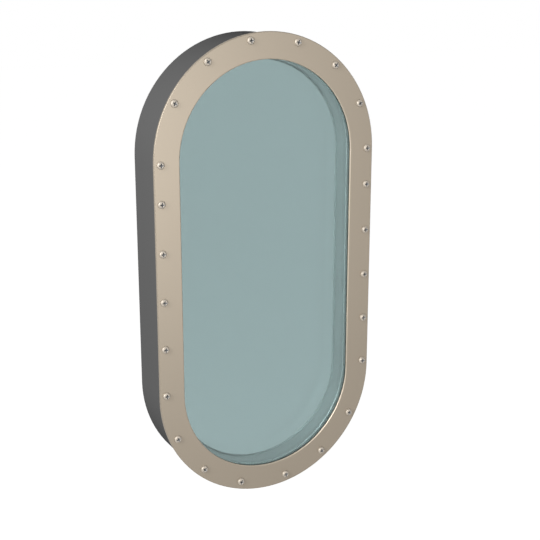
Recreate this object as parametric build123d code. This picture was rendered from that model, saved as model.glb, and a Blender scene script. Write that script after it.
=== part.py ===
from build123d import *
import math
import os

# Fixed obround window with a deep frame, an insulating glass unit and a screwed-on trim ring.
# Millimetres. The origin is the centre of the opening on the wall's face: +X right, +Y into the wall, +Z up.
# Every ring is one section, drawn as radius against depth, carried round two straights and two half turns.

# Opening and trim ring
opening_width = 200.0
opening_height = 450.0
flange_width = 28.0
flange_thickness = 2.5
flange_edge_radius = 1.0
flange_overhang = 3.0

# Frame body
sleeve_depth = 60.0
sleeve_wall = 4.0
sleeve_edge_radius = 0.8
pocket_wall = 10.0
pocket_lead_in = 0.6
lip_thickness = 3.0
lip_bite = 4.5
lip_edge_radius = 0.5
lip_root_radius = 2.0

# Insulating glass unit
pane_thickness = 8.0
pane_clearance = 2.5
pane_arris = 0.8
cavity = 22.0
spacer_height = 7.0
spacer_wall = 0.7
spacer_corner_radius = 0.8
spacer_shoulder = 2.0
butyl_thickness = 0.3
butyl_setback = 0.4
bead_radius = 1.6
edge_seal_recess = 0.5
fill_clearance = 0.2

# Gaskets and setting blocks
front_gasket_thickness = 0.8
rear_gasket_thickness = 2.0
gasket_edge_radius = 0.5
rear_gasket_setback = 0.5
block_length = 30.0
block_clearance = 0.1
block_arc_degrees = (60.0, 120.0, -60.0, -120.0)
block_side_shares = (0.2, 0.8)

# Trim screws: angles round the upper and lower half turns, and places up each straight as shares of its length
screw_upper_degrees = (0.0, 24.0, 48.8, 73.5, 99.5, 124.2, 149.9, 180.0)
screw_lower_degrees = (-28.7, -55.0, -79.6, -106.9, -131.6, -156.6)
screw_side_shares = (0.016, 0.223, 0.428, 0.634, 0.84)
screw_edge_distance = 7.2
lower_screw_edge_distance = 9.0
screw_shank_diameter = 4.0
screw_length = 12.0
screw_point = 0.8
screw_head_diameter = 8.2
screw_head_height = 2.4
screw_head_rim = 0.5
screw_crown_diameter = 4.6
cross_span = 4.4
cross_arm_width = 1.2
cross_depth = 1.7
cross_taper_degrees = 8.0
ring_hole_clearance = 0.25
thread_clearance = 0.05
screw_tip_clearance = 2.0
cut_overrun = 1.0

# Radii, from the opening outwards
half_straight = (opening_height - opening_width) / 2
opening_radius = opening_width / 2
spacer_back_radius = opening_radius + spacer_height
shoulder_radius = spacer_back_radius - spacer_shoulder
flange_radius = opening_radius + flange_width
screw_radius = flange_radius - screw_edge_distance
lower_screw_radius = flange_radius - lower_screw_edge_distance
sleeve_radius = flange_radius - flange_overhang
bore_radius = sleeve_radius - sleeve_wall
pocket_radius = sleeve_radius - pocket_wall
pane_radius = pocket_radius - pane_clearance
lip_radius = pane_radius - lip_bite

# Depths, from the trim ring's front face inwards
flange_front = -flange_thickness
front_pane_front = front_gasket_thickness
cavity_front = front_pane_front + pane_thickness
spacer_front = cavity_front + butyl_thickness
cavity_back = cavity_front + cavity
spacer_back = cavity_back - butyl_thickness
rear_pane_back = cavity_back + pane_thickness
lip_front = rear_pane_back + rear_gasket_thickness
lip_back = lip_front + lip_thickness


def band(inner, outer, front, back):
    """Rectangle of a section, from one radius to another and from one depth to another."""
    return Polygon((inner, front), (outer, front), (outer, back), (inner, back), align=None)


def corner(section, radius, depth):
    """The corner of a section nearest to a radius and a depth."""
    return section.vertices().sort_by_distance((radius, depth, 0))[0]


def half_turn(section, degrees=180.0):
    """Turn a section about the upper half turn's centre, from the right-hand side upwards."""
    centre = Axis((0, 0, half_straight), (0, -1, 0))
    return revolve(Pos(0, 0, half_straight) * section, centre, degrees)


def obround(section):
    """Carry a section all the way round the window."""
    half = extrude(section, half_straight, both=True) + half_turn(section)
    return half + Rot(0, 180, 0) * half


def round_bar(radius, front, back):
    """A bar along the depth, centred on a screw's own axis."""
    return revolve(band(0, radius, front, back), Axis.Y)


def screw_places():
    """Where each trim screw sits on the ring's front face, turned with the half turns."""
    places = []
    for degrees in screw_upper_degrees + screw_lower_degrees:
        upper = degrees >= 0
        centre = half_straight if upper else -half_straight
        radius = screw_radius if upper else lower_screw_radius
        x = radius * math.cos(math.radians(degrees))
        z = centre + radius * math.sin(math.radians(degrees))
        places.append(Pos(x, flange_front, z) * Rot(0, -degrees, 0))
    for share in screw_side_shares:
        z = half_straight * (2 * share - 1)
        places.append(Pos(screw_radius, flange_front, z))
        places.append(Pos(-screw_radius, flange_front, z))
    return places


def front_trim_ring():
    """Flat flange with rounded front edges and a clearance hole for each screw."""
    section = band(opening_radius, flange_radius, flange_front, 0)
    edges = [corner(section, radius, flange_front) for radius in (opening_radius, flange_radius)]
    ring = obround(fillet(edges, flange_edge_radius))
    hole_radius = screw_shank_diameter / 2 + ring_hole_clearance
    hole = round_bar(hole_radius, -cut_overrun, flange_thickness + cut_overrun)
    return ring - [place * hole for place in screw_places()]


def frame_body():
    """Sleeve with the glazing pocket, the rear lip that stops the glass, and a hole for each screw."""
    section = Polygon(
        (sleeve_radius, 0),
        (pocket_radius, 0),
        (pocket_radius, lip_front),
        (lip_radius, lip_front),
        (lip_radius, lip_back),
        (bore_radius, lip_back),
        (bore_radius, sleeve_depth),
        (sleeve_radius, sleeve_depth),
        align=None,
    )
    section = chamfer(corner(section, pocket_radius, 0), pocket_lead_in)
    section = fillet(corner(section, bore_radius, lip_back), lip_root_radius)
    lip_edges = [corner(section, lip_radius, depth) for depth in (lip_front, lip_back)]
    section = fillet(lip_edges, lip_edge_radius)
    end_edges = [corner(section, radius, sleeve_depth) for radius in (bore_radius, sleeve_radius)]
    section = fillet(end_edges, sleeve_edge_radius)
    hole_radius = screw_shank_diameter / 2 + thread_clearance
    hole = round_bar(hole_radius, 0, screw_length + screw_tip_clearance)
    return obround(section) - [place * hole for place in screw_places()]


def pane(front):
    """Sheet of toughened glass with its sharp edges taken off."""
    back = front + pane_thickness
    section = band(0, pane_radius, front, back)
    edges = [corner(section, pane_radius, depth) for depth in (front, back)]
    return obround(chamfer(edges, pane_arris))


def spacer_outline(inset=0.0):
    """Outline of the spacer bar with sharp corners and sloped shoulders, drawn in by an inset."""
    section = band(opening_radius, spacer_back_radius, spacer_front, spacer_back)
    shoulders = [corner(section, spacer_back_radius, depth) for depth in (spacer_front, spacer_back)]
    section = chamfer(shoulders, spacer_shoulder)
    return offset(section, -inset, kind=Kind.INTERSECTION) if inset else section


def spacer_section():
    """Section of the spacer bar from outside, rounded towards the cavity."""
    section = spacer_outline()
    rounded = [corner(section, opening_radius, depth) for depth in (spacer_front, spacer_back)]
    return fillet(rounded, spacer_corner_radius)


def spacer_bar():
    """Hollow bar bent round the sight line."""
    return obround(spacer_section() - spacer_outline(spacer_wall))


def drying_fill():
    """Drying granules that fill the hollow of the spacer bar."""
    return obround(spacer_outline(spacer_wall + fill_clearance))


def front_seal():
    """Flat primary seal between the front pane and the spacer bar."""
    return obround(band(opening_radius + butyl_setback, shoulder_radius, cavity_front, spacer_front))


def rear_seal():
    """Primary seal on the rear pane, with a round bead squeezed out into the corner of the cavity."""
    bead_front = cavity_back - bead_radius
    bead = Pos(opening_radius, cavity_back) * Circle(bead_radius)
    bead &= band(opening_radius - bead_radius, opening_radius, bead_front, cavity_back)
    strip = band(opening_radius, shoulder_radius, bead_front, cavity_back)
    return obround(strip + bead - spacer_section())


def edge_seal():
    """Secondary seal that closes the glass unit behind the spacer bar."""
    section = band(shoulder_radius, pane_radius - edge_seal_recess, cavity_front, cavity_back)
    return obround(section - spacer_section())


def front_gasket():
    """Soft strip that the trim ring presses on the front pane."""
    section = band(opening_radius, pane_radius, 0, front_pane_front)
    return obround(fillet(corner(section, opening_radius, 0), gasket_edge_radius))


def rear_gasket():
    """Soft strip between the rear pane and the frame's lip."""
    outer = pocket_radius - block_clearance
    section = band(lip_radius + rear_gasket_setback, outer, rear_pane_back, lip_front)
    return obround(fillet(corner(section, lip_radius, lip_front), gasket_edge_radius))


def setting_blocks():
    """Packers that centre the glass unit in its pocket, on the half turns and on the straights."""
    outer = pocket_radius - block_clearance
    section = band(pane_radius + block_clearance, outer, front_pane_front, rear_pane_back)
    spread = math.degrees(block_length / outer)
    arc_block = Pos(0, 0, -half_straight) * half_turn(section, spread)
    side_block = extrude(section, block_length / 2, both=True)
    blocks = []
    for degrees in block_arc_degrees:
        centre = half_straight if degrees > 0 else -half_straight
        blocks.append(Pos(0, 0, centre) * Rot(0, spread / 2 - degrees, 0) * arc_block)
    for share in block_side_shares:
        right = Pos(0, 0, half_straight * (2 * share - 1)) * side_block
        blocks.append(right)
        blocks.append(Rot(0, 180, 0) * right)
    return Compound(children=blocks)


def trim_screw():
    """Pan-head screw with a flat crown and a cross recess. The head's seat is at depth zero."""
    head_radius = screw_head_diameter / 2
    crown_radius = screw_crown_diameter / 2
    edge_width = head_radius - crown_radius
    edge_height = screw_head_height - screw_head_rim
    edge = EllipticalCenterArc((crown_radius, -screw_head_rim), edge_width, edge_height, 270, arc_size=90)
    rim = Line((head_radius, -screw_head_rim), (head_radius, 0))
    seat = Line((head_radius, 0), (0, 0))
    core = Line((0, 0), (0, -screw_head_height))
    top = Line((0, -screw_head_height), (crown_radius, -screw_head_height))
    head = revolve(make_face([edge, rim, seat, core, top]), Axis.Y)
    shank_radius = screw_shank_diameter / 2
    shank = band(0, shank_radius, 0, screw_length)
    shank = revolve(chamfer(corner(shank, shank_radius, screw_length), screw_point), Axis.Y)
    crown = Plane((0, -screw_head_height, 0), x_dir=(1, 0, 0), z_dir=(0, 1, 0))
    cross = Rectangle(cross_span, cross_arm_width) + Rectangle(cross_arm_width, cross_span)
    recess = extrude(crown * cross, cross_depth, taper=cross_taper_degrees)
    return head + shank - recess


def trim_screws():
    """One screw in each of the trim ring's holes."""
    screw = trim_screw()
    return Compound(children=[place * screw for place in screw_places()])


nodes = {
    "frame_body": frame_body(),
    "front_trim_ring": front_trim_ring(),
    "trim_screws": trim_screws(),
    "front_gasket": front_gasket(),
    "front_pane": pane(front_pane_front),
    "front_seal": front_seal(),
    "spacer_bar": spacer_bar(),
    "drying_fill": drying_fill(),
    "rear_seal": rear_seal(),
    "edge_seal": edge_seal(),
    "rear_pane": pane(cavity_back),
    "rear_gasket": rear_gasket(),
    "setting_blocks": setting_blocks(),
}

os.makedirs("parts", exist_ok=True)
for name, solid in nodes.items():
    export_step(solid, f"parts/{name}.step")
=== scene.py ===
import math

import bpy
from bpy.props import FloatProperty, FloatVectorProperty, IntProperty, PointerProperty
from bpy.types import Operator, Panel, PropertyGroup
from mathutils import Matrix, Vector


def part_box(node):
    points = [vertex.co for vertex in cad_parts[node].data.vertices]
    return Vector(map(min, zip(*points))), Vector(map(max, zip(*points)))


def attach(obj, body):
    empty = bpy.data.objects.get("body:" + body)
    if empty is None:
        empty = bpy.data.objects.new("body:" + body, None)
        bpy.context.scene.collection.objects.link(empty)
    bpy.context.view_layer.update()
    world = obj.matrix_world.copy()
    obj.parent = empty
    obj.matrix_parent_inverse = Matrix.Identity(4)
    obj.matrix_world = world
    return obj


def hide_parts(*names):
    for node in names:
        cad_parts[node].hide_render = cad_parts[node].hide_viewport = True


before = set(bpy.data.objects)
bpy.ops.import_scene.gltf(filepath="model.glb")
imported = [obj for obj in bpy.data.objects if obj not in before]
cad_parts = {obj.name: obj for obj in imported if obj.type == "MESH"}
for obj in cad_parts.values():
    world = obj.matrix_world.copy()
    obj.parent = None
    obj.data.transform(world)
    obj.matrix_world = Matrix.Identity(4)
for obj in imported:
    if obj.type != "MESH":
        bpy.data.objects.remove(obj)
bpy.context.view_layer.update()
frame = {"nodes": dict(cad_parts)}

# Finishes, trim screws and stage for the obround window. Metres, in the part's own frame:
# +X right, +Y into the wall, +Z up, with the origin on the wall's face at the centre of the opening.

bl_info = {
    "name": "Obround Window",
    "version": (1, 0, 0),
    "blender": (4, 5, 0),
    "location": "View3D > Sidebar > Window",
    "description": "Dresses the obround window's frame, glass unit and screws, and sets its studio stage",
    "category": "Object",
}

ring_low, ring_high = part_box("front_trim_ring")
_, screws_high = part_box("trim_screws")
half_straight = ring_high.z - ring_high.x
ring_inner = min(
    math.hypot(vertex.co.x, max(abs(vertex.co.z) - half_straight, 0.0))
    for vertex in frame["nodes"]["front_trim_ring"].data.vertices
)
screw_length = screws_high.y - ring_low.y
pane_nodes = ("front_pane", "rear_pane")

# The ring's inner edge: painted shade covers its foot this high, and a painted highlight lies on the metal
# above it.
painted_shade_height = 0.0011
painted_shade_blur = 0.0003
painted_edge_reach = 0.0002
painted_edge_blur = 0.0004

# The screws: how they are found in the CAD node, and how finely one is modelled.
tip_slice = 0.0002
tip_spread = 0.004
seat_slice = 1e-6
crown_inset = 0.95
point_taper = 0.5
recess_taper = 0.4
rounding_steps = 10
thread_sides = 3
thread_steps = 20
bevel_segments = 2
bevel_angle = math.radians(40)
smooth_angle = math.radians(35)
level_normal = 0.5

sensor_width = 36.0


class FinishColours(PropertyGroup):
    """Colours of the window's finishes."""

    ring: FloatVectorProperty(
        name="Trim Ring",
        description="Champagne anodised metal of the trim ring",
        subtype="COLOR",
        size=3,
        min=0.0,
        max=1.0,
        default=(0.27, 0.231, 0.1815),
    )
    # Painted highlight: a lighter colour laid on the front of the trim ring's inner edge, where light
    # catches it.
    ring_edge_highlight: FloatVectorProperty(
        name="Painted Edge Highlight",
        description="Bright cut metal on the inner edge of the trim ring",
        subtype="COLOR",
        size=3,
        min=0.0,
        max=1.0,
        default=(0.49, 0.42, 0.333),
    )
    frame: FloatVectorProperty(
        name="Frame",
        description="Dark grey powder coat of the sleeve",
        subtype="COLOR",
        size=3,
        min=0.0,
        max=1.0,
        default=(0.0885, 0.0885, 0.0885),
    )
    screws: FloatVectorProperty(
        name="Screws",
        description="Bright metal of the trim screws",
        subtype="COLOR",
        size=3,
        min=0.0,
        max=1.0,
        default=(0.38, 0.336, 0.281),
    )
    # Painted shade: a dark colour for the shade inside each cross recess.
    recess: FloatVectorProperty(
        name="Cross Recess",
        description="Dark steel inside each screw's cross recess",
        subtype="COLOR",
        size=3,
        min=0.0,
        max=1.0,
        default=(0.21, 0.215, 0.22),
    )
    glass: FloatVectorProperty(
        name="Glass",
        description="Tint of one pane, as light that comes through it",
        subtype="COLOR",
        size=3,
        min=0.0,
        max=1.0,
        default=(0.506, 0.598, 0.6),
    )
    rubber: FloatVectorProperty(
        name="Gaskets",
        description="Black rubber of the two gaskets",
        subtype="COLOR",
        size=3,
        min=0.0,
        max=1.0,
        default=(0.012, 0.012, 0.012),
    )
    spacer: FloatVectorProperty(
        name="Spacer Bar",
        description="Mill finish metal of the spacer bar",
        subtype="COLOR",
        size=3,
        min=0.0,
        max=1.0,
        default=(0.71, 0.72, 0.71),
    )
    pale_seal: FloatVectorProperty(
        name="Front Seal",
        description="Pale grey seal behind the front pane",
        subtype="COLOR",
        size=3,
        min=0.0,
        max=1.0,
        default=(0.85, 0.88, 0.86),
    )
    butyl: FloatVectorProperty(
        name="Rear Seal",
        description="Grey bead on the rear pane",
        subtype="COLOR",
        size=3,
        min=0.0,
        max=1.0,
        default=(0.34, 0.364, 0.355),
    )
    # This colour is also laid as painted shade along the foot of the trim ring's inner edge.
    sealant: FloatVectorProperty(
        name="Edge Seal",
        description="Dark secondary seal round the glass unit's edge",
        subtype="COLOR",
        size=3,
        min=0.0,
        max=1.0,
        default=(0.035, 0.036, 0.038),
    )
    beads: FloatVectorProperty(
        name="Drying Fill",
        description="Drying granules inside the spacer bar",
        subtype="COLOR",
        size=3,
        min=0.0,
        max=1.0,
        default=(0.56, 0.5, 0.41),
    )
    blocks: FloatVectorProperty(
        name="Setting Blocks",
        description="Plastic packers round the glass unit",
        subtype="COLOR",
        size=3,
        min=0.0,
        max=1.0,
        default=(0.05, 0.14, 0.3),
    )


class ScrewSizes(PropertyGroup):
    """Sizes of one trim screw."""

    head_height: FloatProperty(
        name="Head Height",
        description="From the ring's face to the crown",
        unit="LENGTH",
        default=0.0024,
    )
    head_rim: FloatProperty(
        name="Head Rim",
        description="Height of the straight edge under the rounding",
        unit="LENGTH",
        default=0.0005,
    )
    crown_diameter: FloatProperty(
        name="Crown Diameter",
        description="Flat top of the head, inside its rounded edge",
        unit="LENGTH",
        default=0.0046,
    )
    core_diameter: FloatProperty(
        name="Core Diameter",
        description="Shank diameter at the root of the thread",
        unit="LENGTH",
        default=0.0032,
    )
    thread_diameter: FloatProperty(
        name="Thread Diameter",
        description="Shank diameter over the thread",
        unit="LENGTH",
        default=0.00396,
    )
    thread_pitch: FloatProperty(
        name="Thread Pitch",
        description="Distance from one turn of the thread to the next",
        unit="LENGTH",
        default=0.0007,
    )
    cross_span: FloatProperty(
        name="Cross Span",
        description="Width of the cross recess at the crown, from tip to tip",
        unit="LENGTH",
        default=0.0048,
    )
    cross_arm: FloatProperty(
        name="Cross Arm",
        description="Width of each arm of the cross recess at the crown",
        unit="LENGTH",
        default=0.0014,
    )
    cross_depth: FloatProperty(
        name="Cross Depth",
        description="Depth of the cross recess under the crown",
        unit="LENGTH",
        default=0.0017,
    )
    edge_round: FloatProperty(
        name="Edge Rounding",
        description="Radius on the head's rim and the recess",
        unit="LENGTH",
        default=0.00008,
    )
    sides: IntProperty(
        name="Sides",
        description="Facets round the head",
        default=48,
        min=12,
    )


class StageSettings(PropertyGroup):
    """Floor, lamps and camera."""

    floor_drop: FloatProperty(
        name="Floor Drop",
        description="From the centre of the window down to the floor",
        unit="LENGTH",
        default=2.5,
    )
    floor_size: FloatProperty(
        name="Floor Size",
        description="Side of the square floor",
        unit="LENGTH",
        default=60.0,
    )
    fill: FloatProperty(
        name="Fill Light",
        description="Strength of the pale surroundings on matt surfaces",
        default=0.06,
        min=0.0,
    )
    key_place: FloatVectorProperty(
        name="Key Lamp Place",
        description="Large soft lamp to the left of the window",
        subtype="XYZ",
        unit="LENGTH",
        default=(-1.6, -0.6, 0.8),
    )
    key_width: FloatProperty(
        name="Key Lamp Width",
        description="Width of the tall key lamp",
        unit="LENGTH",
        default=0.6,
    )
    key_height: FloatProperty(
        name="Key Lamp Height",
        description="Height of the tall key lamp",
        unit="LENGTH",
        default=1.4,
    )
    key_power: FloatProperty(
        name="Key Lamp Power",
        description="Power of the key lamp",
        unit="POWER",
        default=58.0,
        min=0.0,
    )
    front_place: FloatVectorProperty(
        name="Front Lamp Place",
        description="Soft lamp in front, whose sheen lies on the upper left of the trim ring",
        subtype="XYZ",
        unit="LENGTH",
        default=(0.262, -1.91, -0.055),
    )
    front_size: FloatProperty(
        name="Front Lamp Size",
        description="Side of the front lamp",
        unit="LENGTH",
        default=0.5,
    )
    front_power: FloatProperty(
        name="Front Lamp Power",
        description="Power of the front lamp",
        unit="POWER",
        default=16.7,
        min=0.0,
    )
    rear_place: FloatVectorProperty(
        name="Rear Lamp Place",
        description="Large soft lamp behind and to the right of the window",
        subtype="XYZ",
        unit="LENGTH",
        default=(1.3, 1.5, 0.1),
    )
    rear_size: FloatProperty(
        name="Rear Lamp Size",
        description="Side of the rear lamp",
        unit="LENGTH",
        default=0.9,
    )
    rear_power: FloatProperty(
        name="Rear Lamp Power",
        description="Power of the rear lamp",
        unit="POWER",
        default=40.0,
        min=0.0,
    )
    eye: FloatVectorProperty(
        name="Camera Place",
        description="Where the camera stands",
        subtype="XYZ",
        unit="LENGTH",
        default=(-0.5238, -1.0194, 0.3174),
    )
    sight: FloatVectorProperty(
        name="Camera Direction",
        description="Direction that the camera looks along",
        subtype="DIRECTION",
        default=(0.4427, 0.8564, -0.2659),
    )
    lens: FloatProperty(
        name="Focal Length",
        description="Camera lens in millimetres on a 36 mm sensor",
        default=73.68,
    )


class Value:
    """A socket in a node tree. Sums and products of values add Math nodes."""

    def __init__(self, tree, socket=None):
        self.tree = tree
        self.socket = socket

    def node(self, kind, sockets=None, out=0, **settings):
        """Add any node: its settings first, then the values or links of its sockets."""
        made = self.tree.nodes.new(kind)
        for name, setting in settings.items():
            setattr(made, name, setting)
        for name, given in (sockets or {}).items():
            self.feed(made.inputs[name], given)
        return Value(self.tree, made.outputs[out])

    def feed(self, socket, given):
        """Link a value to a socket, or set the socket to a plain number or colour."""
        if isinstance(given, Value):
            self.tree.links.new(given.socket, socket)
        else:
            socket.default_value = given

    def maths(self, operation, first, second):
        """Add a Math node on two values or numbers."""
        return self.node("ShaderNodeMath", {0: first, 1: second}, operation=operation)

    def __add__(self, other):
        return self.maths("ADD", self, other)

    def __radd__(self, other):
        return self.maths("ADD", other, self)

    def __sub__(self, other):
        return self.maths("SUBTRACT", self, other)

    def __rsub__(self, other):
        return self.maths("SUBTRACT", other, self)

    def __mul__(self, other):
        return self.maths("MULTIPLY", self, other)

    def __rmul__(self, other):
        return self.maths("MULTIPLY", other, self)


class Finish:
    """A node material with one Principled shader, and the patterns that its looks are made of."""

    def __init__(self, name):
        self.material = bpy.data.materials.new(name)
        self.material.use_nodes = True
        self.tree = self.material.node_tree
        self.shader = self.tree.nodes["Principled BSDF"]
        self.value = Value(self.tree)
        self.place = self.value.node("ShaderNodeTexCoord", out="Object")

    def grain(self, size, detail=2.0, stretch=(1.0, 1.0, 1.0)):
        """Noise from 0 to 1 whose grains are about as large as the size given, in metres."""
        at = self.value.node("ShaderNodeMapping", {"Vector": self.place, "Scale": stretch})
        return self.value.node(
            "ShaderNodeTexNoise", {"Vector": at, "Scale": 1.0 / size, "Detail": detail, "Roughness": 0.55}
        )

    def shade(self, factor, dark, light):
        """Colour that runs from dark to light with a factor."""
        ends = [end if isinstance(end, Value) else (*end, 1.0) for end in (dark, light)]
        return self.value.node(
            "ShaderNodeMix", {0: factor, 6: ends[0], 7: ends[1]}, out=2, data_type="RGBA"
        )

    def reach_and_depth(self):
        """Distance from the line between the half turns' centres, and depth into the wall."""
        parts = self.value.node("ShaderNodeSeparateXYZ", {"Vector": self.place}).socket.node.outputs
        across, depth, up = (Value(self.tree, part) for part in parts)
        maths = self.value.maths
        over = maths("MAXIMUM", maths("ABSOLUTE", up, 0.0) - half_straight, 0.0)
        return maths("SQRT", across * across + over * over, 0.0), depth

    def below(self, value, limit, blur):
        """One where a value is under a limit, and zero from there on over the width of the blur."""
        ends = {"From Min": limit, "From Max": limit + blur, "To Min": 1.0, "To Max": 0.0}
        return self.value.node("ShaderNodeMapRange", {"Value": value, **ends})

    def bump(self, height, depth):
        """Surface relief of a depth in metres."""
        return self.value.node("ShaderNodeBump", {"Height": height, "Distance": depth, "Strength": 1.0})

    def set(self, **sockets):
        """Set or link the shader's sockets by name, with underscores for spaces."""
        for name, given in sockets.items():
            self.value.feed(self.shader.inputs[name.replace("_", " ")], given)
        return self.material


def tone(colour, factor):
    """A colour made darker or lighter."""
    return tuple(min(1.0, channel * factor) for channel in colour)


def champagne_anodised(colour, cut, foot):
    """Satin anodised metal, with a painted highlight on the front of the inner edge and painted shade, in
    the dark sealant colour, along the edge's foot.
    """
    finish = Finish("champagne_anodised")
    grain = finish.grain(size=0.00035)
    cloud = finish.grain(size=0.09, detail=3.0)
    face = finish.shade(0.35 * grain + 0.65 * cloud, tone(colour, 0.965), tone(colour, 1.035))
    reach, depth = finish.reach_and_depth()
    # The inner wall gets a painted highlight (cut) at its front and painted shade (foot) at its foot.
    wall = finish.below(reach, ring_inner + painted_edge_reach, painted_edge_blur)
    front = finish.below(depth, -painted_shade_height, painted_shade_blur)
    return finish.set(
        Base_Color=finish.shade(wall, face, finish.shade(front, foot, cut)),
        Metallic=0.68,
        Roughness=0.45 + 0.05 * grain,
        Normal=finish.bump(grain, depth=0.000004),
    )


def grey_powder_coat(colour):
    """Matt powder coat with a faint orange peel."""
    finish = Finish("grey_powder_coat")
    peel = finish.grain(size=0.0016, detail=1.0)
    speck = finish.grain(size=0.0003)
    return finish.set(
        Base_Color=finish.shade(0.5 * speck + 0.5 * peel, tone(colour, 0.95), tone(colour, 1.05)),
        Roughness=0.75 + 0.12 * peel,
        Specular_IOR_Level=0.0,
        Normal=finish.bump(peel, depth=0.00001),
    )


def bright_screw_metal(colour):
    """Plated screw metal with a fine satin grain."""
    finish = Finish("bright_screw_metal")
    grain = finish.grain(size=0.0002)
    return finish.set(
        Base_Color=finish.shade(grain, tone(colour, 0.95), tone(colour, 1.05)),
        Metallic=0.4,
        Roughness=0.45 + 0.08 * grain,
        Normal=finish.bump(grain, depth=0.000002),
    )


def recess_painted_shade(colour):
    """Dull stamped steel inside the cross recess, coloured dark as painted shade."""
    finish = Finish("recess_painted_shade")
    grain = finish.grain(size=0.0002)
    return finish.set(
        Base_Color=finish.shade(grain, tone(colour, 0.8), tone(colour, 1.2)),
        Roughness=0.6 + 0.15 * grain,
        Specular_IOR_Level=0.2,
    )


def tinted_glass(colour):
    """Polished tinted glass. Lamps shine through it, tinted as the view through it is."""
    finish = Finish("tinted_glass")
    ripple = finish.grain(size=0.15, detail=1.0)
    material = finish.set(
        Base_Color=finish.shade(ripple, tone(colour, 0.995), tone(colour, 1.005)),
        Roughness=0.0,
        IOR=1.5,
        Transmission_Weight=1.0,
    )
    value = finish.value
    # Light crosses two faces of a pane, so each face has the root of the pane's tint.
    face_tint = tuple(math.sqrt(channel) for channel in colour)
    clear = value.node("ShaderNodeBsdfTransparent", {"Color": (*face_tint, 1.0)})
    path = value.node("ShaderNodeLightPath", out="Is Shadow Ray")
    glass = Value(finish.tree, finish.shader.outputs["BSDF"])
    mixed = value.node("ShaderNodeMixShader", {0: path, 1: glass, 2: clear})
    value.feed(finish.tree.nodes["Material Output"].inputs["Surface"], mixed)
    return material


def black_rubber(colour):
    """Moulded rubber with a dull, slightly dusty skin."""
    finish = Finish("black_rubber")
    grain = finish.grain(size=0.0004)
    dust = finish.grain(size=0.02, detail=4.0)
    return finish.set(
        Base_Color=finish.shade(dust, tone(colour, 0.85), tone(colour, 1.3)),
        Roughness=0.55 + 0.15 * dust,
        Normal=finish.bump(grain, depth=0.00001),
    )


def mill_finish(colour):
    """Bare rolled metal with faint lines that run along the bar."""
    finish = Finish("mill_finish")
    lines = finish.grain(size=0.0004, stretch=(0.15, 1.0, 0.15))
    return finish.set(
        Base_Color=finish.shade(lines, tone(colour, 0.97), tone(colour, 1.03)),
        Metallic=1.0,
        Roughness=0.36 + 0.08 * lines,
        Normal=finish.bump(lines, depth=0.000003),
    )


def soft_seal(name, colour, relief):
    """Sealant with a soft skin and small waves from its application."""
    finish = Finish(name)
    wave = finish.grain(size=0.006)
    return finish.set(
        Base_Color=finish.shade(wave, tone(colour, 0.93), tone(colour, 1.07)),
        Roughness=0.5 + 0.15 * wave,
        Normal=finish.bump(wave, depth=relief),
    )


def drying_granules(colour):
    """Packed round granules, each painted lighter at its middle and darker towards its edge as shade."""
    finish = Finish("drying_granules")
    size = 0.0009
    beads = finish.value.node(
        "ShaderNodeTexVoronoi", {"Vector": finish.place, "Scale": 1.0 / size, "Randomness": 0.8}
    )
    return finish.set(
        # Painted shade: each granule darker towards its edge and in the gaps between granules.
        Base_Color=finish.shade(beads, tone(colour, 1.1), tone(colour, 0.6)),
        Roughness=0.85,
        Normal=finish.bump(1.0 - beads, depth=0.0003),
    )


def moulded_plastic(colour):
    """Moulded packer plastic with a fine sparked texture."""
    finish = Finish("moulded_plastic")
    spark = finish.grain(size=0.0005)
    return finish.set(
        Base_Color=finish.shade(spark, tone(colour, 0.92), tone(colour, 1.08)),
        Roughness=0.42 + 0.12 * spark,
        Normal=finish.bump(spark, depth=0.00001),
    )


def dress(node, material):
    """Give a CAD node a finish in each of its material slots."""
    for slot in frame["nodes"][node].material_slots:
        slot.material = material


def deselect():
    """Leave nothing selected, so that the next operator acts on the new piece alone."""
    bpy.ops.object.select_all(action="DESELECT")


def pick_faces(piece, wanted):
    """In edit mode, select only the faces that a test accepts."""
    bpy.ops.object.mode_set(mode="OBJECT")
    mesh = piece.data
    for element in (*mesh.vertices, *mesh.edges):
        element.select = False
    for face in mesh.polygons:
        face.select = wanted(face)
    bpy.ops.object.mode_set(mode="EDIT")
    bpy.ops.mesh.select_mode(type="FACE")


def pull(distance, scale=1.0):
    """Extrude the selected faces along Z and scale them across it."""
    bpy.ops.mesh.extrude_region_move(TRANSFORM_OT_translate={"value": (0, 0, distance)})
    bpy.ops.transform.resize(value=(scale, scale, 1.0))


def screw_places():
    """Axis of each trim screw of the CAD node, from the flat end of its point."""
    tip = screws_high.y - tip_slice
    groups = []
    for vertex in frame["nodes"]["trim_screws"].data.vertices:
        spot = Vector((vertex.co.x, vertex.co.z))
        if vertex.co.y < tip:
            continue
        near = [group for group in groups if (group[0] - spot).length < tip_spread]
        if near:
            near[0].append(spot)
        else:
            groups.append([spot])
    places = []
    for group in groups:
        xs = [spot.x for spot in group]
        zs = [spot.y for spot in group]
        places.append(Vector((min(xs) + max(xs), min(zs) + max(zs))) / 2)
    return sorted(places, key=lambda spot: math.atan2(spot.y, spot.x))


def screw_turn(spot):
    """Angle of a screw about its axis: upright on the straights, turned with the half turns."""
    over = abs(spot.y) - half_straight
    if over <= 0:
        return 0.0
    return math.atan2(math.copysign(over, spot.y), spot.x)


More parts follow.
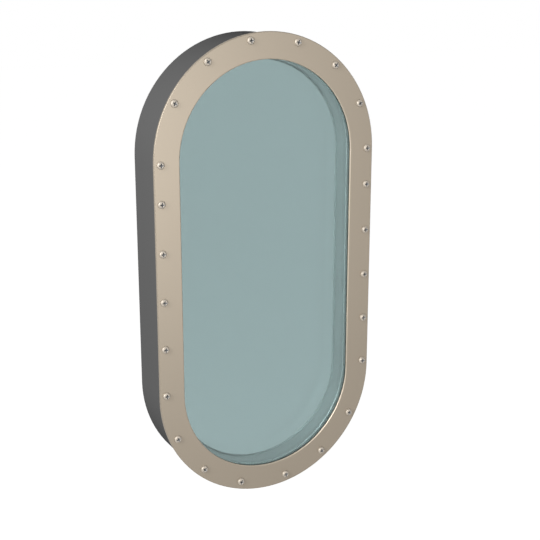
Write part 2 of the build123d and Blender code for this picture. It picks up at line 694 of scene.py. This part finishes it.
def screw_head(sizes, radius):
    """Head and core of one screw along Z, with its seat at zero and the crown upwards."""
    deselect()
    bpy.ops.mesh.primitive_circle_add(vertices=sizes.sides, radius=radius, fill_type="NGON")
    screw = bpy.context.object
    bpy.ops.object.mode_set(mode="EDIT")
    bpy.ops.mesh.select_all(action="SELECT")
    pull(sizes.head_rim)
    crown = sizes.crown_diameter / 2
    height, reach = 0.0, radius
    for step in range(1, rounding_steps + 1):
        angle = step * math.pi / 2 / rounding_steps
        higher = (sizes.head_height - sizes.head_rim) * math.sin(angle)
        nearer = crown + (radius - crown) * math.cos(angle)
        pull(higher - height, nearer / reach)
        height, reach = higher, nearer
    pull(0.0, crown_inset)
    pick_faces(screw, lambda face: abs(face.center.z) < seat_slice)
    bpy.ops.mesh.inset(thickness=radius - sizes.core_diameter / 2)
    point = sizes.core_diameter / 4
    pull(point - screw_length)
    pull(-point, point_taper)
    bpy.ops.mesh.select_all(action="SELECT")
    bpy.ops.mesh.normals_make_consistent(inside=False)
    bpy.ops.object.mode_set(mode="OBJECT")
    return screw


def cross_cutter(sizes):
    """Tapered cross that is cut into the crown."""
    deselect()
    arm = sizes.cross_arm
    bpy.ops.mesh.primitive_cube_add(size=arm)
    cutter = bpy.context.object
    bpy.ops.object.mode_set(mode="EDIT")
    bpy.ops.mesh.select_all(action="SELECT")
    bpy.ops.transform.resize(value=(1.0, 1.0, 2 * sizes.cross_depth / arm))
    bpy.ops.transform.translate(value=(0, 0, sizes.head_height))
    pick_faces(cutter, lambda face: abs(face.normal.z) < level_normal)
    bpy.ops.mesh.extrude_faces_move(TRANSFORM_OT_shrink_fatten={"value": (sizes.cross_span - arm) / 2})
    for side in (-1, 1):
        pick_faces(cutter, lambda face: face.normal.z * side > level_normal)
        taper = 1.0 + recess_taper * side
        bpy.ops.transform.resize(value=(taper, taper, 1.0))
    bpy.ops.mesh.select_all(action="SELECT")
    bpy.ops.mesh.normals_make_consistent(inside=False)
    bpy.ops.object.mode_set(mode="OBJECT")
    return cutter


def thread(sizes):
    """Helical ridge round the core, as a three-sided bar carried up the shank."""
    deselect()
    ridge = (sizes.thread_diameter - sizes.core_diameter) / 2
    bpy.ops.mesh.primitive_circle_add(vertices=thread_sides, radius=ridge, fill_type="NOTHING")
    helix = bpy.context.object
    turns = int((screw_length - sizes.core_diameter) / sizes.thread_pitch)
    bpy.ops.object.mode_set(mode="EDIT")
    bpy.ops.mesh.select_all(action="SELECT")
    bpy.ops.transform.rotate(value=math.pi / 2, orient_axis="X", center_override=(0, 0, 0))
    centre = sizes.thread_diameter / 2 - ridge
    bottom = -screw_length + sizes.core_diameter / 2
    bpy.ops.transform.translate(value=(centre, 0, bottom))
    bpy.ops.object.mode_set(mode="OBJECT")
    bpy.ops.object.modifier_add(type="SCREW")
    sweep = helix.modifiers[0]
    sweep.axis = "Z"
    sweep.screw_offset = sizes.thread_pitch
    sweep.iterations = turns
    sweep.steps = sweep.render_steps = thread_steps
    sweep.use_merge_vertices = False
    bpy.ops.object.modifier_apply(modifier=sweep.name)
    bpy.ops.object.mode_set(mode="EDIT")
    bpy.ops.mesh.select_all(action="SELECT")
    bpy.ops.mesh.fill_holes(sides=thread_sides)
    bpy.ops.mesh.select_all(action="SELECT")
    bpy.ops.mesh.normals_make_consistent(inside=False)
    bpy.ops.object.mode_set(mode="OBJECT")
    return helix


class WindowFrameBody(Operator):
    """Dress the sleeve that carries the glass"""

    bl_idname = "obround_window.frame_body"
    bl_label = "Frame Body"

    def execute(self, context):
        dress("frame_body", grey_powder_coat(context.scene.window_colours.frame))
        return {"FINISHED"}


class WindowTrimRing(Operator):
    """Dress the flat ring that holds the glass in from the front"""

    bl_idname = "obround_window.trim_ring"
    bl_label = "Trim Ring"

    def execute(self, context):
        colours = context.scene.window_colours
        # The edge seal's dark colour goes on as painted shade at the foot of the ring's inner edge.
        metal = champagne_anodised(colours.ring, colours.ring_edge_highlight, colours.sealant)
        dress("front_trim_ring", metal)
        return {"FINISHED"}


class WindowTrimScrews(Operator):
    """Model one cross recess screw and put a copy in each hole of the trim ring"""

    bl_idname = "obround_window.trim_screws"
    bl_label = "Trim Screws"

    def execute(self, context):
        sizes = context.scene.window_screws
        places = screw_places()
        if not places:
            raise RuntimeError("the trim screws' node has no points to place screws by")
        radius = screws_high.x - max(spot.x for spot in places)
        colours = context.scene.window_colours
        metal = bright_screw_metal(colours.screws)
        helix = thread(sizes)
        helix.data.materials.append(metal)
        cutter = cross_cutter(sizes)
        cutter.data.materials.append(recess_painted_shade(colours.recess))
        screw = screw_head(sizes, radius)
        screw.data.materials.append(metal)
        bpy.ops.object.modifier_add(type="BOOLEAN")
        cut = screw.modifiers[0]
        cut.operation = "DIFFERENCE"
        cut.object = cutter
        cut.material_mode = "TRANSFER"
        bpy.ops.object.modifier_apply(modifier=cut.name)
        bpy.ops.object.modifier_add(type="BEVEL")
        edge = screw.modifiers[0]
        edge.width = sizes.edge_round
        edge.segments = bevel_segments
        edge.limit_method = "ANGLE"
        edge.angle_limit = bevel_angle
        bpy.ops.object.modifier_apply(modifier=edge.name)
        bpy.data.objects.remove(cutter)
        helix.select_set(True)
        bpy.ops.object.join()
        bpy.ops.object.shade_smooth_by_angle(angle=smooth_angle)
        upright = Matrix.Rotation(math.pi / 2, 4, "X")
        for number, spot in enumerate(places, 1):
            copy = bpy.data.objects.new(f"trim_screw_{number:02d}", screw.data.copy())
            context.collection.objects.link(copy)
            seat = Matrix.Translation((spot.x, ring_low.y, spot.y))
            copy.data.transform(seat @ Matrix.Rotation(-screw_turn(spot), 4, "Y") @ upright)
            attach(copy, "root")
            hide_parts("trim_screws")
        bpy.data.objects.remove(screw)
        return {"FINISHED"}


class WindowGlass(Operator):
    """Dress the two panes of tinted glass"""

    bl_idname = "obround_window.glass"
    bl_label = "Glass Panes"

    def execute(self, context):
        glass = tinted_glass(context.scene.window_colours.glass)
        for node in pane_nodes:
            dress(node, glass)
        return {"FINISHED"}


class WindowUnitEdge(Operator):
    """Dress the spacer bar, its drying fill and the seals that join the two panes"""

    bl_idname = "obround_window.unit_edge"
    bl_label = "Glass Unit Edge"

    def execute(self, context):
        colours = context.scene.window_colours
        dress("spacer_bar", mill_finish(colours.spacer))
        dress("drying_fill", drying_granules(colours.beads))
        dress("front_seal", soft_seal("pale_seal", colours.pale_seal, relief=0.00001))
        dress("rear_seal", soft_seal("grey_butyl", colours.butyl, relief=0.00001))
        dress("edge_seal", soft_seal("dark_edge_sealant", colours.sealant, relief=0.0002))
        return {"FINISHED"}


class WindowGaskets(Operator):
    """Dress the two gaskets and the packers that seat the glass unit in the frame"""

    bl_idname = "obround_window.gaskets"
    bl_label = "Gaskets and Setting Blocks"

    def execute(self, context):
        colours = context.scene.window_colours
        rubber = black_rubber(colours.rubber)
        for node in ("front_gasket", "rear_gasket"):
            dress(node, rubber)
        dress("setting_blocks", moulded_plastic(colours.blocks))
        return {"FINISHED"}


def seen_rays(value):
    """One for rays that show the surroundings in view, in gloss or through glass, and zero for others."""
    rays = value.node("ShaderNodeLightPath").socket.node.outputs
    names = ("Is Camera Ray", "Is Glossy Ray", "Is Transmission Ray")
    masks = [Value(value.tree, rays[name]) for name in names]
    total = masks[0] + masks[1] + masks[2]
    return value.maths("MINIMUM", total, 1.0)


def white_surroundings(stage):
    """World that is white where it is seen and a low fill on matt surfaces."""
    world = bpy.data.worlds.new("pale_studio")
    world.use_nodes = True
    bpy.context.scene.world = world
    value = Value(world.node_tree)
    background = world.node_tree.nodes["Background"]
    background.inputs["Color"].default_value = (1.0, 1.0, 1.0, 1.0)
    value.feed(background.inputs["Strength"], stage.fill + (1.0 - stage.fill) * seen_rays(value))


def pale_floor(stage):
    """Floor far under the window, white in view, with the shadow kept on it."""
    deselect()
    bpy.ops.mesh.primitive_plane_add(size=stage.floor_size, location=(0, 0, -stage.floor_drop))
    floor = bpy.context.object
    floor.name = "floor"
    finish = Finish("pale_floor")
    glow = seen_rays(finish.value)
    cloud = finish.grain(size=0.8)
    floor.data.materials.append(
        finish.set(
            Base_Color=finish.shade(cloud, (0.84, 0.84, 0.84), (0.88, 0.88, 0.88)),
            Roughness=0.9,
            Emission_Color=finish.shade(glow, (0.0, 0.0, 0.0), (1.0, 1.0, 1.0)),
            Emission_Strength=0.95,
            Specular_IOR_Level=0.0,
        )
    )


def soft_lamp(name, place, width, height, power):
    """Rectangular lamp aimed at the centre of the window, and not seen through its glass."""
    data = bpy.data.lights.new(name, "AREA")
    data.shape = "RECTANGLE"
    data.size = width
    data.size_y = height
    data.energy = power
    lamp = bpy.data.objects.new(name, data)
    lamp.location = place
    lamp.rotation_euler = (-Vector(place)).to_track_quat("-Z", "Y").to_euler()
    lamp.visible_transmission = False
    bpy.context.collection.objects.link(lamp)
    return lamp


def keep_off_glass(lamp):
    """Leave a lamp's square image out of the panes, which mirror only the pale surroundings."""
    panes = bpy.data.collections.new("unlit_panes")
    for node in pane_nodes:
        panes.objects.link(frame["nodes"][node])
    lamp.light_linking.receiver_collection = panes
    for pane in panes.collection_objects:
        pane.light_linking.link_state = "EXCLUDE"


class WindowStage(Operator):
    """Set the floor, the lamps, the pale surroundings and the camera"""

    bl_idname = "obround_window.stage"
    bl_label = "Stage"

    def execute(self, context):
        stage = context.scene.window_stage
        white_surroundings(stage)
        pale_floor(stage)
        soft_lamp("key_lamp", stage.key_place, stage.key_width, stage.key_height, stage.key_power)
        side = stage.front_size
        front = soft_lamp("front_lamp", stage.front_place, side, side, stage.front_power)
        keep_off_glass(front)
        side = stage.rear_size
        rear = soft_lamp("rear_lamp", stage.rear_place, side, side, stage.rear_power)
        rear.visible_glossy = False
        data = bpy.data.cameras.new("camera")
        data.lens = stage.lens
        data.sensor_width = sensor_width
        camera = bpy.data.objects.new("camera", data)
        camera.location = stage.eye
        camera.rotation_euler = Vector(stage.sight).to_track_quat("-Z", "Y").to_euler()
        context.collection.objects.link(camera)
        context.scene.camera = camera
        context.scene.view_settings.view_transform = "Standard"
        return {"FINISHED"}


class WindowPanel(Panel):
    """Lists the window's pieces and its stage"""

    bl_idname = "VIEW3D_PT_obround_window"
    bl_label = "Obround Window"
    bl_space_type = "VIEW_3D"
    bl_region_type = "UI"
    bl_category = "Window"

    def draw(self, context):
        layout = self.layout
        for piece in operators:
            layout.operator(piece.bl_idname)
        scene = context.scene
        for group in (scene.window_colours, scene.window_screws, scene.window_stage):
            box = layout.box()
            for name in group.bl_rna.properties.keys():
                if name not in ("rna_type", "name"):
                    box.prop(group, name)


operators = (
    WindowFrameBody,
    WindowTrimRing,
    WindowTrimScrews,
    WindowGlass,
    WindowUnitEdge,
    WindowGaskets,
    WindowStage,
)
classes = (FinishColours, ScrewSizes, StageSettings, *operators, WindowPanel)


def register():
    for item in classes:
        bpy.utils.register_class(item)
    bpy.types.Scene.window_colours = PointerProperty(type=FinishColours)
    bpy.types.Scene.window_screws = PointerProperty(type=ScrewSizes)
    bpy.types.Scene.window_stage = PointerProperty(type=StageSettings)


def unregister():
    del bpy.types.Scene.window_stage
    del bpy.types.Scene.window_screws
    del bpy.types.Scene.window_colours
    for item in reversed(classes):
        bpy.utils.unregister_class(item)


def main():
    register()
    bpy.ops.obround_window.frame_body()
    bpy.ops.obround_window.trim_ring()
    bpy.ops.obround_window.trim_screws()
    bpy.ops.obround_window.glass()
    bpy.ops.obround_window.unit_edge()
    bpy.ops.obround_window.gaskets()
    bpy.ops.obround_window.stage()


if __name__ == "__main__":
    main()
